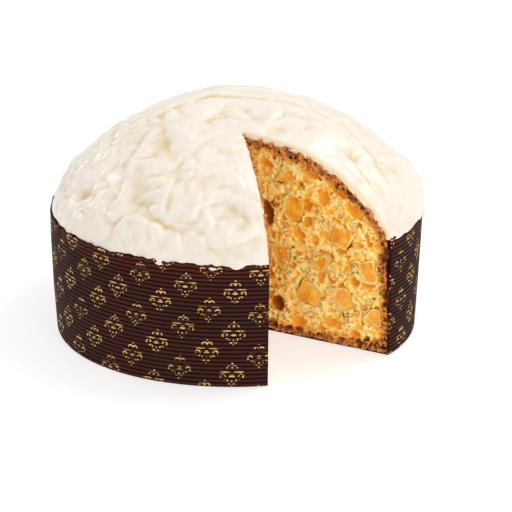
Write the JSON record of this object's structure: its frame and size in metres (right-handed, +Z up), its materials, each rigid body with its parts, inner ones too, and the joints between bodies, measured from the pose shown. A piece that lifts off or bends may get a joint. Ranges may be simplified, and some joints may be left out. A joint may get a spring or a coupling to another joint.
{
  "type": "panettone",
  "caption": "low domed sweet loaf with white icing and candied pear, baked in a ribbed paper case, with one wedge cut out so the crumb shows",
  "frame": {"origin": "the middle of the foot of the paper case, on the surface it stands on", "axes": "+Z up along the loaf's axis; -Y towards the front; the missing wedge lies between -Y and +X"},
  "size_m": [0.21, 0.21, 0.1258],
  "materials": {
    "paper": "matte dark brown baking paper with a small gold print",
    "crumb": "soft airy yellow crumb with a browned crust",
    "icing": "set white glaze, satin",
    "candied_pear": "glossy translucent amber"
  },
  "bodies": {
    "root": {"paper_case": "paper", "loaf": "crumb", "icing": "icing", "pear_left_01": "candied_pear", "pear_left_02": "candied_pear", "pear_left_03": "candied_pear", "pear_left_04": "candied_pear", "pear_left_05": "candied_pear", "pear_left_06": "candied_pear", "pear_left_07": "candied_pear", "pear_left_08": "candied_pear", "pear_left_09": "candied_pear", "pear_right_01": "candied_pear", "pear_right_02": "candied_pear", "pear_right_03": "candied_pear", "pear_right_04": "candied_pear", "pear_right_05": "candied_pear", "pear_right_06": "candied_pear", "pear_right_07": "candied_pear", "pear_right_08": "candied_pear", "pear_right_09": "candied_pear", "pear_right_10": "candied_pear"}
  },
  "joints": []
}
